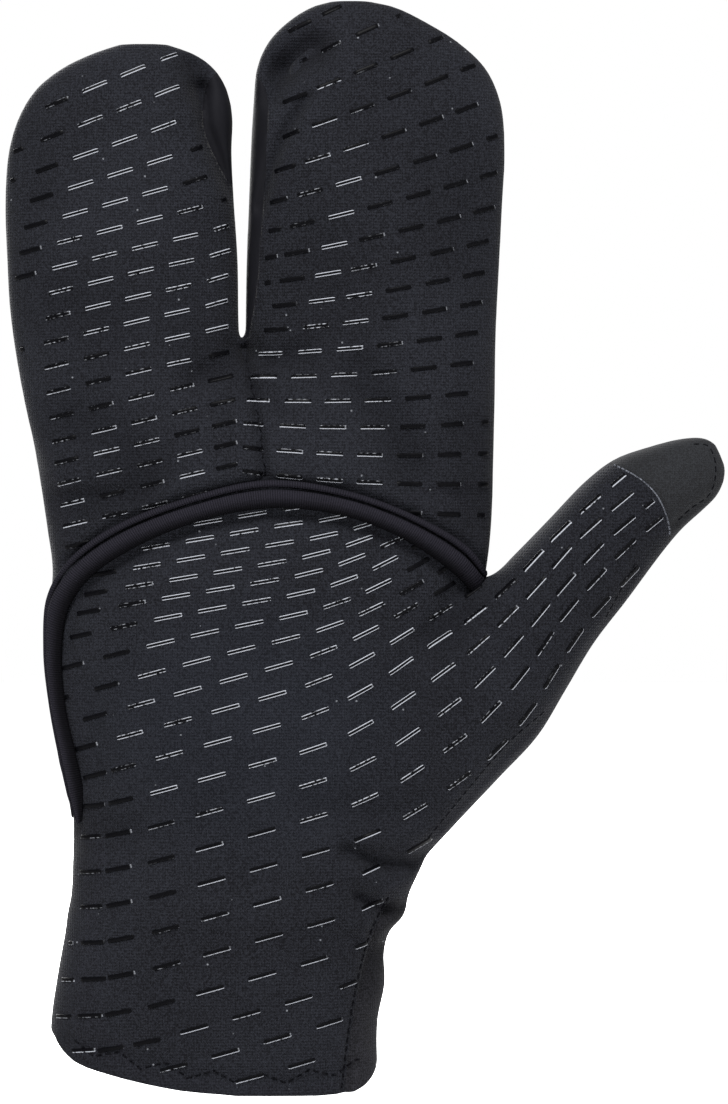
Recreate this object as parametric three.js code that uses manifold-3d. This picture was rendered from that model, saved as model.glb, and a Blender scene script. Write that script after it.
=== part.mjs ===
// A right-hand running glove with a split mitten hood pulled over its four fingers, palm side to -Y.
// Millimetres. +Z runs to the fingertips, +X to the thumb, and the origin is the middle of the wrist
// opening. Each panel is a thin wall: the outer form of the hand or hood, less the form inside it,
// parted at the side seam into a palm panel and a back panel.

import * as THREE from 'three';
import { mergeVertices } from 'three/addons/utils/BufferGeometryUtils.js';
import Module from 'manifold-3d';

const wasm = await Module();
wasm.setup();

// Driving dimensions
const GLOVE_WALL = 1.5;
const HOOD_WALL = 1.2;
const HOOD_EASE = 0.35;
const SEAM_GAP = 0.3;
const TAPE_WIDTH = 6.6;
const TAPE_PROUD = 0.6;
const HEM_RISE_LITTLE_SIDE = 14;
const HEM_RISE_THUMB_SIDE = 6;
const HEM_HALF_WIDTH = 38;
const HEM_FADE_HEIGHT = 34;
const TAPE_TAPER = 0.11;
const HOOD_START = 60;
const FINGER_ROOT = 158;
const HOLLOW_RUN_OUT = 12;
const PALM_SQUARENESS = 2.4;
const FINGER_SQUARENESS = 2.2;

// Limits of the working
const LARGEST_SHRINK = 0.4;
const LEAST_SWELL = 0.5;
const TIP_SHARPNESS = 4;
const MERGE_DISTANCE = 1e-5;
const CUT_REACH = 30;
const FAR = 600;

// Points around one section of each form
const HAND_SIDES = 26;
const THUMB_SIDES = 20;
const FINGER_SIDES = 10;
const POUCH_SIDES = 22;

// The hand from the cuff to the knuckles: height, little-finger edge, thumb edge, and how far
// the section swells to the palm and to the back.
const HAND = columns(['z', 'left', 'right', 'front', 'back'], [
  [0, -37.6, 37.7, 15.5, 15.5],
  [17, -37.3, 37.5, 16, 16],
  [36, -34.5, 39.8, 15.6, 15.8],
  [41, -33.6, 42.4, 16.2, 15.8],
  [46, -32.8, 44.2, 16.2, 15.6],
  [54, -32.4, 46.5, 16, 15.2],
  [63, -32, 50, 16, 15],
  [69, -32.9, 52, 16, 14.8],
  [77, -34.6, 54, 15.8, 14.6],
  [90, -36.4, 56, 15.2, 14.4],
  [105, -37.5, 58, 14.6, 14.2],
  [120, -36, 60.8, 14.2, 13.8],
  [130, -36.6, 62, 13.6, 13.4],
  [146, -39.1, 62.6, 12.6, 12.8],
  [158, -41.4, 62.8, 11.4, 11.8],
  [166, -42.6, 62.8, 9.6, 10.2],
  [170, -42.8, 62.4, 6.6, 7.2],
  [172.4, -39, 59, 2, 2.2],
]);

// The thumb from the ball of the hand to its tip: each row is a section from edge a, on the side
// of the index finger, to edge b, on the side of the wrist.
const THUMB = columns(['ax', 'az', 'bx', 'bz', 'front', 'back'], [
  [22, 78, 46.5, 51, 12, 10],
  [34, 95, 56.2, 63.3, 15.4, 12],
  [46, 109, 65.6, 73.3, 15.6, 12.4],
  [56, 117, 74.4, 82.8, 14.8, 12.4],
  [64.2, 119.6, 80.6, 93, 13.6, 12],
  [69.4, 124.4, 87, 103.7, 12.8, 11.4],
  [77.1, 132.3, 94.8, 113.9, 12, 11],
  [86, 141.5, 102.8, 124.7, 11.4, 10.6],
  [92.4, 146.2, 107.4, 130.2, 10.8, 10],
  [100.3, 149, 112, 134.4, 9.6, 9],
  [107.5, 150.6, 115.2, 137.6, 7.6, 7.4],
  [113, 150.3, 116.5, 142.2, 4.4, 4.4],
]);
const THUMB_AXIS = [0.8, 0.6];
// The touch panel of the thumb starts at this line across the thumb
const THUMB_TIP_LINE = { ax: 91.5, az: 145.1, bx: 104.7, bz: 130.4 };

// The fingers under the hood: middle line at the root and at the tip, and the height of the tip
const FINGERS = columns(['root', 'tip', 'top', 'halfWidth'], [
  [-31, -34, 213, 8.8],
  [-9.5, -12, 231, 9.4],
  [21, 24, 242, 9.4],
  [46.5, 47, 236, 9.4],
]);
// How a finger narrows: place along it, and its share of the half width and of the half depth
const FINGER_FORM = columns(['along', 'width', 'depth'], [
  [0, 1, 9.2],
  [0.45, 1, 8],
  [0.8, 0.93, 6.8],
  [0.94, 0.7, 5],
  [1, 0.3, 2.4],
]);

// The hood's two pouches: height, left edge, right edge, and the swell to palm and back
const LEFT_POUCH = columns(['z', 'left', 'right', 'front', 'back'], [
  [140, -38.6, 6.2, 13.4, 13.4],
  [158, -43.1, 6, 12.9, 12.9],
  [178.3, -46.5, 5.5, 11.8, 11.8],
  [192, -47.4, 5.3, 11.2, 11.2],
  [206, -47.8, 4.4, 10.6, 10.6],
  [217, -47, 3.9, 10, 10],
  [225, -44.6, 4.1, 9.4, 9.4],
  [231.2, -40.7, 2.8, 8.4, 8.4],
  [235.8, -35, 0, 7, 7],
  [239, -28.6, -4.2, 5.2, 5.2],
  [241.3, -21.8, -10.6, 3, 3],
]);
const RIGHT_POUCH = columns(['z', 'left', 'right', 'front', 'back'], [
  [140, 7, 63.8, 13.4, 13.4],
  [158, 7.2, 64.4, 12.9, 12.9],
  [176, 7.4, 64.7, 11.9, 11.9],
  [190, 7.6, 65.4, 11.4, 11.4],
  [204, 8.1, 66.1, 11, 11],
  [217, 8.6, 66.7, 10.4, 10.4],
  [228, 9.2, 65.8, 9.8, 9.8],
  [236, 10, 62.3, 8.8, 8.8],
  [242, 12.6, 56, 7.4, 7.4],
  [246.6, 17, 48.6, 5.6, 5.6],
  [250, 22.4, 41.6, 3.6, 3.6],
  [251.3, 27.2, 35.4, 2, 2],
]);

// Soft hollows in the palm side: middle, reach each way, and depth
const HOLLOWS = columns(['x', 'z', 'reachX', 'reachZ', 'depth'], [
  [15.5, 236, 6, 11, 1.6],
  [0.5, 222, 4, 12, 1.4],
  [8, 166, 3.5, 16, 1],
  [-24, 148, 9, 6, 0.8],
]);

// The edge of the hood's mouth, from the little-finger side over the palm to the thumb
const MOUTH = columns(['x', 'z'], [
  [-27, 60],
  [-31.4, 76.7],
  [-35.1, 94.3],
  [-35.4, 105],
  [-30.7, 117],
  [-19.7, 125.2],
  [-3.5, 132],
  [12.6, 135.4],
  [28.7, 134],
  [43.4, 129.1],
  [55.1, 120.7],
  [60.5, 113],
]);
const MOUTH_STEPS = 36;
// Below this height the mouth's edge runs up the side of the hand, and above it over the palm
const ARCH_START = 104;
// The hood is sewn across the back of the hand on a line from A to B
const BACK_SEAM = { ax: -36, az: 62, bx: 63, bz: 117 };
// The side seam at the wrist runs on the palm side here, so the back panel wraps round to it
const WRIST_WRAP = columns(['x', 'z'], [
  [29.6, -6],
  [31.5, 17],
  [34.2, 31],
  [39.4, 44],
]);

function columns(names, rows) {
  return rows.map((row) => Object.fromEntries(names.map((name, i) => [name, row[i]])));
}

/** How far the hem lies above the origin at x: it turns up towards both side seams. */
function hemRise(x) {
  const rise = x < 0 ? HEM_RISE_LITTLE_SIDE : HEM_RISE_THUMB_SIDE;
  const share = Math.min(Math.abs(x) / HEM_HALF_WIDTH, 1);
  return rise * (1 - Math.sqrt(1 - share * share));
}

/** Depth of the palm side's soft hollows at x, z. */
function hollowDepth(x, z) {
  let depth = 0;
  for (const hollow of HOLLOWS) {
    const u = (x - hollow.x) / hollow.reachX;
    const v = (z - hollow.z) / hollow.reachZ;
    depth += hollow.depth * Math.exp(-u * u - v * v);
  }
  return depth;
}

/** Rows of sections across x become rows from edge a to edge b. */
function level(rows) {
  return rows.map((row) => ({
    ax: row.left, az: row.z, bx: row.right, bz: row.z, front: row.front, back: row.back,
  }));
}

/**
 * The rows of a form grown by `grow` all round, or shrunk where it is negative. The sections near
 * the tip also move along the form's axis, so that the wall closes over the tip.
 */
function grown(rows, grow, axis = [0, 1]) {
  const last = rows.length - 1;
  return rows.map((row, i) => {
    const length = Math.hypot(row.bx - row.ax, row.bz - row.az);
    const edgeX = (row.bx - row.ax) / length;
    const edgeZ = (row.bz - row.az) / length;
    const side = Math.max(grow, -LARGEST_SHRINK * length);
    const shift = grow * (i / last) ** TIP_SHARPNESS;
    return {
      ax: row.ax - edgeX * side + axis[0] * shift,
      az: row.az - edgeZ * side + axis[1] * shift,
      bx: row.bx + edgeX * side + axis[0] * shift,
      bz: row.bz + edgeZ * side + axis[1] * shift,
      front: Math.max(row.front + grow, LEAST_SWELL),
      back: Math.max(row.back + grow, LEAST_SWELL),
    };
  });
}

/** A closed form through the rows' sections, each a rounded oval with flattened broad sides. */
function loft(rows, sides, { squareness = PALM_SQUARENESS, hem = false } = {}) {
  const points = [];
  const faces = [];
  const bent = (value) => Math.sign(value) * Math.abs(value) ** (2 / squareness);
  for (const row of rows) {
    for (let i = 0; i < sides; i += 1) {
      const angle = (2 * Math.PI * i) / sides;
      const across = bent(Math.cos(angle));
      const out = bent(Math.sin(angle));
      const x = (row.ax + row.bx) / 2 + (across * (row.bx - row.ax)) / 2;
      const z = (row.az + row.bz) / 2 + (across * (row.bz - row.az)) / 2;
      const lift = hem ? hemRise(x) * Math.max(0, 1 - row.az / HEM_FADE_HEIGHT) : 0;
      const sink = hollowDepth(x, z) * Math.min(1, Math.max(0, -2 * out));
      const swell = out < 0 ? row.front : row.back;
      points.push(x, out * swell + sink, z + lift);
    }
  }
  const rowCount = rows.length;
  for (let r = 0; r < rowCount - 1; r += 1) {
    for (let i = 0; i < sides; i += 1) {
      const a = r * sides + i;
      const b = r * sides + ((i + 1) % sides);
      faces.push(a, b, b + sides, a, b + sides, a + sides);
    }
  }
  const ends = [rows[0], rows[rowCount - 1]];
  ends.forEach((row, end) => {
    const middle = points.length / 3;
    points.push((row.ax + row.bx) / 2, 0, (row.az + row.bz) / 2);
    const start = end * (rowCount - 1) * sides;
    for (let i = 0; i < sides; i += 1) {
      const a = start + i;
      const b = start + ((i + 1) % sides);
      faces.push(middle, ...(end ? [a, b] : [b, a]));
    }
  });
  const geometry = new THREE.BufferGeometry();
  geometry.setAttribute('position', new THREE.Float32BufferAttribute(points, 3));
  geometry.setIndex(faces);
  return solid(geometry);
}

/** A closed geometry as a solid that can be joined and cut. */
function solid(geometry) {
  const bare = geometry.clone();
  bare.deleteAttribute('normal');
  bare.deleteAttribute('uv');
  const merged = mergeVertices(bare, MERGE_DISTANCE);
  return new wasm.Manifold(new wasm.Mesh({
    numProp: 3,
    vertProperties: Float32Array.from(merged.attributes.position.array),
    triVerts: Uint32Array.from(merged.index.array),
  }));
}

const join = (solids) => solids.reduce((whole, next) => whole.add(next));

/** Everything on one side of the seam plane: side -1 is the palm's, 1 the back's. */
function seamSide(side) {
  const box = new THREE.BoxGeometry(FAR, FAR, FAR);
  box.translate(0, side * (FAR / 2 + SEAM_GAP / 2), 0);
  return solid(box);
}

/** A prism along Y, right through the glove, over an outline in x, z. */
function prism(outline) {
  const shape = new THREE.Shape(outline.map(([x, z]) => new THREE.Vector2(x, z)));
  const geometry = new THREE.ExtrudeGeometry(shape, { depth: FAR, bevelEnabled: false });
  geometry.rotateX(Math.PI / 2);
  geometry.translate(0, FAR / 2, 0);
  return solid(geometry);
}

const handRows = level(HAND);
const hoodRows = handRows.filter((row) => row.az >= HOOD_START);
const pouchRows = [level(LEFT_POUCH), level(RIGHT_POUCH)];
const fingerRows = FINGERS.map((finger) => FINGER_FORM.map((form) => {
  const middle = finger.root + (finger.tip - finger.root) * form.along;
  const z = FINGER_ROOT + (finger.top - FINGER_ROOT) * form.along;
  const reach = finger.halfWidth * form.width;
  return { ax: middle - reach, az: z, bx: middle + reach, bz: z, front: form.depth, back: form.depth };
}));

/** The thumb's form, grown by `grow`. */
function thumbForm(grow) {
  return loft(grown(THUMB, grow, THUMB_AXIS), THUMB_SIDES, { squareness: FINGER_SQUARENESS });
}

/** The hand's form with its thumb and fingers, grown by `grow`. The inner form runs out of the cuff. */
function handForm(grow) {
  const rows = grown(handRows, grow);
  if (grow < 0) {
    rows.unshift({ ...rows[0], az: rows[0].az - HOLLOW_RUN_OUT, bz: rows[0].bz - HOLLOW_RUN_OUT });
  }
  const hand = loft(rows, HAND_SIDES, { hem: true });
  const round = { squareness: FINGER_SQUARENESS };
  const fingers = fingerRows.map((finger) => loft(grown(finger, grow), FINGER_SIDES, round));
  return join([hand, thumbForm(grow), ...fingers]);
}

/** The hood's form, grown by `grow` from its inner face over the hand. */
function hoodForm(grow) {
  const base = loft(grown(hoodRows, HOOD_EASE + grow), HAND_SIDES);
  const pouches = pouchRows.map((rows) => loft(grown(rows, grow - HOOD_WALL), POUCH_SIDES));
  return join([base, ...pouches]);
}

const palmSide = seamSide(-1);
const backSide = seamSide(1);
const glove = handForm(0).subtract(handForm(-GLOVE_WALL));
const hoodRoom = hoodForm(0).add(thumbForm(HOOD_EASE));
const hood = hoodForm(HOOD_WALL).subtract(hoodRoom);
const tapeWall = hoodForm(HOOD_WALL + TAPE_PROUD).subtract(hoodRoom);

/** All that lies beyond the wrist's side seam, moved by `offset` to the palm's side of it. */
function wristWrap(offset) {
  const seam = WRIST_WRAP.map(({ x, z }) => [x - offset, z]);
  const top = WRIST_WRAP[WRIST_WRAP.length - 1];
  return prism([...seam, [top.x - offset, top.z + offset], [FAR, top.z + offset], [FAR, seam[0][1]]]);
}

/** All that lies beyond the touch panel's line across the thumb, moved by `offset` to the tip. */
function beyondTipLine(offset) {
  const { ax, az, bx, bz } = THUMB_TIP_LINE;
  const length = Math.hypot(bx - ax, bz - az);
  const [alongX, alongZ] = [(bx - ax) / length, (bz - az) / length];
  const corner = (along, out) => [ax + alongX * along - alongZ * out, az + alongZ * along + alongX * out];
  const near = -CUT_REACH;
  const far = length + CUT_REACH;
  const start = [corner(near, offset), corner(far, offset)];
  return prism([...start, corner(far, CUT_REACH), corner(near, CUT_REACH)]);
}

// The mouth's edge as a smooth curve, with the tape's outer edge and the hood's edge beside it
const mouthCurve = new THREE.SplineCurve(MOUTH.map(({ x, z }) => new THREE.Vector2(x, z)));

/** The mouth's edge moved outwards by a distance that may change along it. */
function mouthOffset(distanceAt) {
  return mouthCurve.getPoints(MOUTH_STEPS).map((point, i) => {
    const t = i / MOUTH_STEPS;
    const tangent = mouthCurve.getTangent(t);
    const distance = distanceAt(t);
    return [point.x - tangent.y * distance, point.y + tangent.x * distance];
  });
}

/** The tape's width, which narrows by half towards both ends. */
function tapeWidth(t) {
  const fromEnd = Math.min(t / TAPE_TAPER, (1 - t) / TAPE_TAPER, 1);
  return (TAPE_WIDTH / 2) * (1 + fromEnd);
}

const tapeInnerEdge = mouthOffset(() => 0);
const tapeOuterEdge = mouthOffset(tapeWidth);
const tapeBand = prism([...tapeInnerEdge, ...tapeOuterEdge.reverse()]);
const hoodEdge = mouthOffset((t) => tapeWidth(t) + SEAM_GAP).filter(([, z]) => z > ARCH_START);
const [startX, startZ] = hoodEdge[0];
const endX = hoodEdge[hoodEdge.length - 1][0];
const belowHoodEdge = prism([
  ...hoodEdge,
  [endX + FAR, ARCH_START],
  [endX + FAR, 0],
  [startX - FAR, 0],
  [startX - FAR, startZ],
]);

// The hood's lower end on the back of the hand
const backSlope = (BACK_SEAM.bz - BACK_SEAM.az) / (BACK_SEAM.bx - BACK_SEAM.ax);
const backLine = (x) => [x, BACK_SEAM.az + backSlope * (x - BACK_SEAM.ax)];
const aboveBackSeam = prism([backLine(-FAR), backLine(FAR), [FAR, 2 * FAR], [-FAR, 2 * FAR]]);

const palmAndTip = glove.intersect(palmSide).subtract(wristWrap(SEAM_GAP));
const panels = [
  ['glove_palm', palmAndTip.subtract(beyondTipLine(0)), 0x2a2c30, 0.8],
  ['thumb_tip', palmAndTip.intersect(beyondTipLine(SEAM_GAP)), 0x323337, 0.85],
  ['glove_back', glove.intersect(backSide.add(wristWrap(0))), 0x292a2e, 0.85],
  ['hood_palm', hood.intersect(palmSide).subtract(belowHoodEdge), 0x2b2d31, 0.8],
  ['hood_back', hood.intersect(backSide).intersect(aboveBackSeam), 0x27282c, 0.7],
  ['opening_binding', tapeWall.intersect(palmSide).intersect(tapeBand), 0x222327, 0.7],
];

const glovePart = new THREE.Group();
for (const [name, form, color, roughness] of panels) {
  const mesh = form.getMesh();
  const geometry = new THREE.BufferGeometry();
  geometry.setAttribute('position', new THREE.BufferAttribute(mesh.vertProperties, mesh.numProp));
  geometry.setIndex(new THREE.BufferAttribute(mesh.triVerts, 1));
  geometry.computeVertexNormals();
  const cloth = new THREE.MeshStandardMaterial({ color, roughness, metalness: 0 });
  const panel = new THREE.Mesh(geometry, cloth);
  panel.name = name;
  glovePart.add(panel);
}

export default glovePart;
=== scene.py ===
"""A right-hand thermal running glove with its split mitten hood pulled over the four fingers.

It is put together from the inside out: the glove's palm, the touch panel on its thumb, its back,
the hood's palm and back, the ribbed tape round the hood's mouth, the printed grip bars, and the
threads of its seams. Sizes are millimetres until a mesh is made, +Z runs to the fingertips, +X to
the thumb, and the palm faces -Y. Places read off the photograph are in its pixels.
"""

import math

import bpy
import numpy as np
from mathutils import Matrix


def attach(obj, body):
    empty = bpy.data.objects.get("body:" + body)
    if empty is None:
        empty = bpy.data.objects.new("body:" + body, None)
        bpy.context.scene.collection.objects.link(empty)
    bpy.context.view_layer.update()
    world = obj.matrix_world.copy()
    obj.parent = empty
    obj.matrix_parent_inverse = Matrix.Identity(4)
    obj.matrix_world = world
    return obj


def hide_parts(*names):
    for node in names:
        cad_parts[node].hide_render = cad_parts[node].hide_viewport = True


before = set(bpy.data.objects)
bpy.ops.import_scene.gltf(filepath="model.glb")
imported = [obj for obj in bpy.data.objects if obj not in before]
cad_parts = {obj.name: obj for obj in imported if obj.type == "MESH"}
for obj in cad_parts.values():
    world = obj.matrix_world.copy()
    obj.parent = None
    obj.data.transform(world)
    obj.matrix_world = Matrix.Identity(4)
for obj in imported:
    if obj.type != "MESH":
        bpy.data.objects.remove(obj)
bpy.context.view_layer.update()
scene = bpy.context.scene
scene.view_settings.view_transform = "Standard"


# Camera: it faces the palm squarely, level with the middle of the glove, 1.1 m away. The picture
# is 728 by 1104 pixels of 0.23 mm, and the middle of the wrist opening is at pixel 214, 1095.
MM = 0.001
PIXEL = 0.23
WRIST_AT = (214, 1095)
PICTURE_MIDDLE = (364, 552)
PICTURE_HEIGHT = 1104
CAMERA_AWAY = 1100
FILM = 36

MIDDLE = np.array([
    (PICTURE_MIDDLE[0] - WRIST_AT[0]) * PIXEL,
    (WRIST_AT[1] - PICTURE_MIDDLE[1]) * PIXEL,
])


def seen_at(pixels, nearer=0):
    """Places in x, z of picture points on a plane `nearer` mm in front of the seam plane: the
    pixels' size in mm, scaled about the picture's middle by the share of the distance left."""
    pixels = np.asarray(pixels, float)
    flat = np.stack([
        (pixels[..., 0] - WRIST_AT[0]) * PIXEL,
        (WRIST_AT[1] - pixels[..., 1]) * PIXEL,
    ], -1)
    return MIDDLE + (flat - MIDDLE) * (1 - nearer / CAMERA_AWAY)


view = bpy.data.cameras.new("camera")
view.lens = FILM * CAMERA_AWAY / (PICTURE_HEIGHT * PIXEL)
view.sensor_width = FILM
view.clip_start = 0.05
camera = bpy.data.objects.new("camera", view)
camera.location = (MIDDLE[0] * MM, -CAMERA_AWAY * MM, MIDDLE[1] * MM)
camera.rotation_euler = (math.pi / 2, 0, 0)
scene.collection.objects.link(camera)
scene.camera = camera


# Studio: a white room with a plain white floor a little below the cuff, a broad soft lamp above
# the palm, a weaker one low on the right, and one for the back of the hand.
FLOOR_Z = -14
FLOOR_RADIUS = 4000
FLOOR_SIDES = 96
LAMPS = {
    # place, breadth, watts
    "key": ((-60, -700, 1050), 360, 42),
    "low": ((760, -820, 60), 600, 6),
    "behind": ((-500, 1000, 700), 700, 50),
}

around = np.linspace(0, 2 * math.pi, FLOOR_SIDES, endpoint=False)
rim = np.stack([np.cos(around) * FLOOR_RADIUS, np.sin(around) * FLOOR_RADIUS,
                np.full(FLOOR_SIDES, FLOOR_Z)], -1)
floor_mesh = bpy.data.meshes.new("floor")
floor_mesh.from_pydata((rim * MM).tolist(), [], [list(range(FLOOR_SIDES))])
floor = bpy.data.objects.new("floor", floor_mesh)
scene.collection.objects.link(floor)

floor_white = bpy.data.materials.new("floor_white")
floor_white.use_nodes = True
floor_white.node_tree.nodes["Principled BSDF"].inputs["Base Color"].default_value = (1, 1, 1, 1)
floor_white.node_tree.nodes["Principled BSDF"].inputs["Roughness"].default_value = 0.9
floor_mesh.materials.append(floor_white)

room = bpy.data.worlds.new("room")
room.use_nodes = True
room.node_tree.nodes["Background"].inputs["Color"].default_value = (1, 1, 1, 1)
room.node_tree.nodes["Background"].inputs["Strength"].default_value = 1.0
scene.world = room

for lamp_name, (place, breadth, power) in LAMPS.items():
    light = bpy.data.lights.new(lamp_name, "AREA")
    light.shape = "DISK"
    light.size = breadth * MM
    light.energy = power
    lamp = bpy.data.objects.new(lamp_name, light)
    lamp.location = [value * MM for value in place]
    aim = np.array([MIDDLE[0], 0, MIDDLE[1]]) - place
    lamp.rotation_euler = (
        math.acos(-aim[2] / np.linalg.norm(aim)), 0, math.atan2(aim[1], aim[0]) - math.pi / 2)
    scene.collection.objects.link(lamp)


# Glove palm: brushed stretch jersey, one panel from the cuff over the palm to the thumb and the
# fronts of the fingers. It is sewn to the back along the sides, and stops short of the edge at the
# wrist, where the back panel comes round.
HAND = [
    # z, left edge, right edge, swell to the palm, swell to the back
    [-12, -37.6, 37.7, 15.2, 15.2],
    [0, -37.6, 37.7, 15.5, 15.5],
    [17, -37.3, 37.5, 16, 16],
    [26, -36.1, 39.2, 15.8, 16],
    [33, -34.9, 39, 15.4, 15.8],
    [38, -34, 40.4, 15.6, 15.8],
    [41.5, -33.6, 43.6, 16.2, 15.8],
    [46, -32.7, 44.6, 16.2, 15.6],
    [54, -32.3, 48.2, 16, 15.2],
    [63, -32.2, 51.4, 16, 15],
    [69, -32.6, 52, 16, 14.8],
    [77, -34, 54, 15.8, 14.6],
    [90, -35.7, 56, 15.2, 14.4],
    [105, -37.3, 58, 14.6, 14.2],
    [120, -35.4, 60.8, 14.2, 13.8],
    [130, -36.6, 62, 13.6, 13.4],
    [146, -39.1, 62.6, 12.6, 12.8],
    [158, -41.4, 62.8, 11.4, 11.8],
    [166, -42.6, 62.8, 8, 10.2],
    [170, -42.8, 62.4, 4.6, 7.2],
    [172.4, -39, 59, 1.4, 2.2],
]
THUMB = [
    # x and z of the edge by the index finger, x and z of the edge by the wrist, swells
    [22, 78, 45.6, 51.8, 12, 10],
    [34, 95, 56.2, 63.3, 15.4, 12],
    [46, 109, 65.6, 73.3, 15.6, 12.4],
    [56, 117, 74.4, 82.8, 14.8, 12.4],
    [64.2, 119.6, 80.6, 93, 13.6, 12],
    [69.4, 124.4, 87, 103.7, 12.8, 11.4],
    [77.1, 132.3, 94.8, 113.9, 12, 11],
    [86, 141.5, 102.8, 124.7, 11.4, 10.6],
    [92.4, 146.2, 107.4, 130.2, 10.8, 10],
    [100.3, 149, 112, 134.4, 9.6, 9],
    [107.5, 150.8, 115.4, 137.8, 7.6, 7.4],
    [112.6, 151, 117, 141, 5, 5],
    [115.2, 149.6, 117.5, 144, 2.6, 2.6],
]
FINGERS = [
    # middle line at the root and at the tip, height of the tip, half width
    [-31, -34, 213, 8.4],
    [-9.5, -12, 231, 9],
    [21, 24, 242, 9],
    [46.5, 47, 236, 9],
]
FINGER_ROOT = 150
FINGER_FORM = [
    # place along the finger, share of its half width, depth
    [0, 1, 9],
    [0.45, 1, 8],
    [0.8, 0.93, 6.8],
    [0.94, 0.7, 5],
    [1, 0.3, 2.4],
]
HEM = [
    # x, height of the cuff's edge
    [-37.7, 15.8], [-36.5, 14.2], [-34.5, 11.4], [-31.3, 8.8], [-28.2, 7.5], [-24.2, 6.4],
    [-19.6, 5.2], [-14.7, 4.1], [-7.2, 2.7], [5.4, 1.5], [24, 1.3], [32, 1.8], [34.6, 3.1],
    [36.6, 5.1], [37.8, 8.6],
]
WRIST_SEAM = [(344, 1104), (348, 1060), (355, 1010), (365, 960), (375, 930), (388, 905), (404, 893)]
THUMB_TIP_SEAM = [(600, 456), (611, 463), (640, 480), (655, 495), (663, 510), (668, 525), (670, 545)]
GLOVE_FOLDS = [
    # path in pixels, reach of the fold in mm, how far it sinks; the sinking also sets the shade
    # painted there
    # under the hood's tape and between the thumb and the hood, where the painted shade stands for
    # the tape's shadow, and the crumpled wrist
    ([(66, 650), (72, 612), (92, 582), (132, 554), (199, 526), (270, 513), (341, 520), (403, 543),
      (453, 576)], 2.4, 1),
    ([(474, 594), (462, 610), (436, 640)], 4, 2),
    # where the hood presses on the roots of the fingers
    ([(70, 460), (112, 432), (180, 404), (250, 385), (340, 395), (430, 425)], 15, 2.6),
    ([(438, 852), (412, 864), (380, 864), (346, 850)], 1.8, 2.1),
    ([(442, 836), (400, 834), (370, 840)], 2.2, -1.3),
    ([(414, 884), (386, 886), (352, 872)], 2.2, -1.7),
    ([(404, 910), (384, 910), (358, 896)], 1.6, 2),
    ([(396, 928), (376, 936), (356, 926)], 2.2, -1.3),
    ([(388, 945), (374, 960), (366, 990)], 2.2, 1.5),
    ([(430, 800), (370, 812), (310, 804)], 4, 0.9),
    ([(66, 832), (100, 826), (130, 832)], 4, 1.2),
    ([(62, 875), (90, 866)], 4, -0.9),
    # broad soft dents of the palm and the thumb
    ([(510, 700), (470, 770), (430, 820)], 8, -0.9),
    ([(480, 640), (440, 700)], 9, 1),
    ([(600, 590), (570, 640)], 8, -0.7),
    ([(230, 740), (260, 720)], 22, -1),
    ([(90, 700), (100, 780)], 6, 1),
    # the hem, turned up and stitched, the seams beside the back panel, and the thumb tip's edge
    ([(66, 1040), (125, 1054), (205, 1076), (300, 1080), (362, 1068)], 1.6, 0.6),
    ([(344, 1100), (355, 1010), (375, 930), (388, 905)], 1.2, 1),
    ([(640, 566), (562, 702), (512, 748), (430, 842)], 1.1, 0.6),
    ([(714, 496), (694, 509), (676, 524)], 1, 0.9),
]
# The wall, the ovals' squareness, the skin's faces, what smoothing takes off, the seams' pinch
GLOVE_WALL = 1.3
HAND_OVAL = 2.4
THUMB_OVAL = 2.2
SKIN_CELL = 0.9
SMOOTHED_OFF = 0.15
HALF_DEPTH = 16
SEAM_DIP = 0.5
SEAM_REACH = 1.3
# Folds and seams are seen this much nearer than the seam plane, folds fade out next to that
# plane, and the shade painted into the cloth's colour is darkest this deep in them
FOLDS_NEARER = 13
SEAMS_NEARER = 10
TIP_SEAM_NEARER = 6
FOLD_FADES = 5
DEEP_FOLD = 3
CUFF_HALF_WIDTH = 37.8
CUFF_SWELL = 15.5
PATH_STEPS = 60
WRAP_TOP = 897
THUMB_FROM = 60
# The middle in x and z of the bluish sheen painted on the palm, and how far it reaches
SHEEN_MIDDLE = (8, 85)
SHEEN_REACH = (45, 38)


def smooth_rows(rows, count):
    """Rows of numbers read at even places along them, on cubics that leave and meet each row at
    the slope of its neighbours."""
    rows = np.asarray(rows, float)
    reach = np.r_[0, np.cumsum(np.sqrt(np.linalg.norm(np.diff(rows, axis=0), axis=1)))]
    slope = np.gradient(rows, reach, axis=0)
    place = np.linspace(0, reach[-1], count)
    i = np.clip(np.searchsorted(reach, place, side="right") - 1, 0, len(reach) - 2)
    gap = (reach[i + 1] - reach[i])[:, None]
    u = (place - reach[i])[:, None] / gap
    return ((1 + 2 * u) * (1 - u) ** 2 * rows[i] + u * (1 - u) ** 2 * gap * slope[i]
            + u * u * (3 - 2 * u) * rows[i + 1] + u * u * (u - 1) * gap * slope[i + 1])


def across_rows(rows):
    """Rows z, left, right, swells as rows of edge a, edge b, swells."""
    rows = np.asarray(rows, float)
    return np.stack([rows[:, 1], rows[:, 0], rows[:, 2], rows[:, 0], rows[:, 3], rows[:, 4]], -1)


def oval(angle, squareness):
    """Unit rounded oval: sine and cosine raised to 2 / squareness, keeping their signs."""
    sides = np.stack([np.cos(angle), np.sin(angle)])
    return np.sign(sides) * np.abs(sides) ** (2 / squareness)


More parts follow.
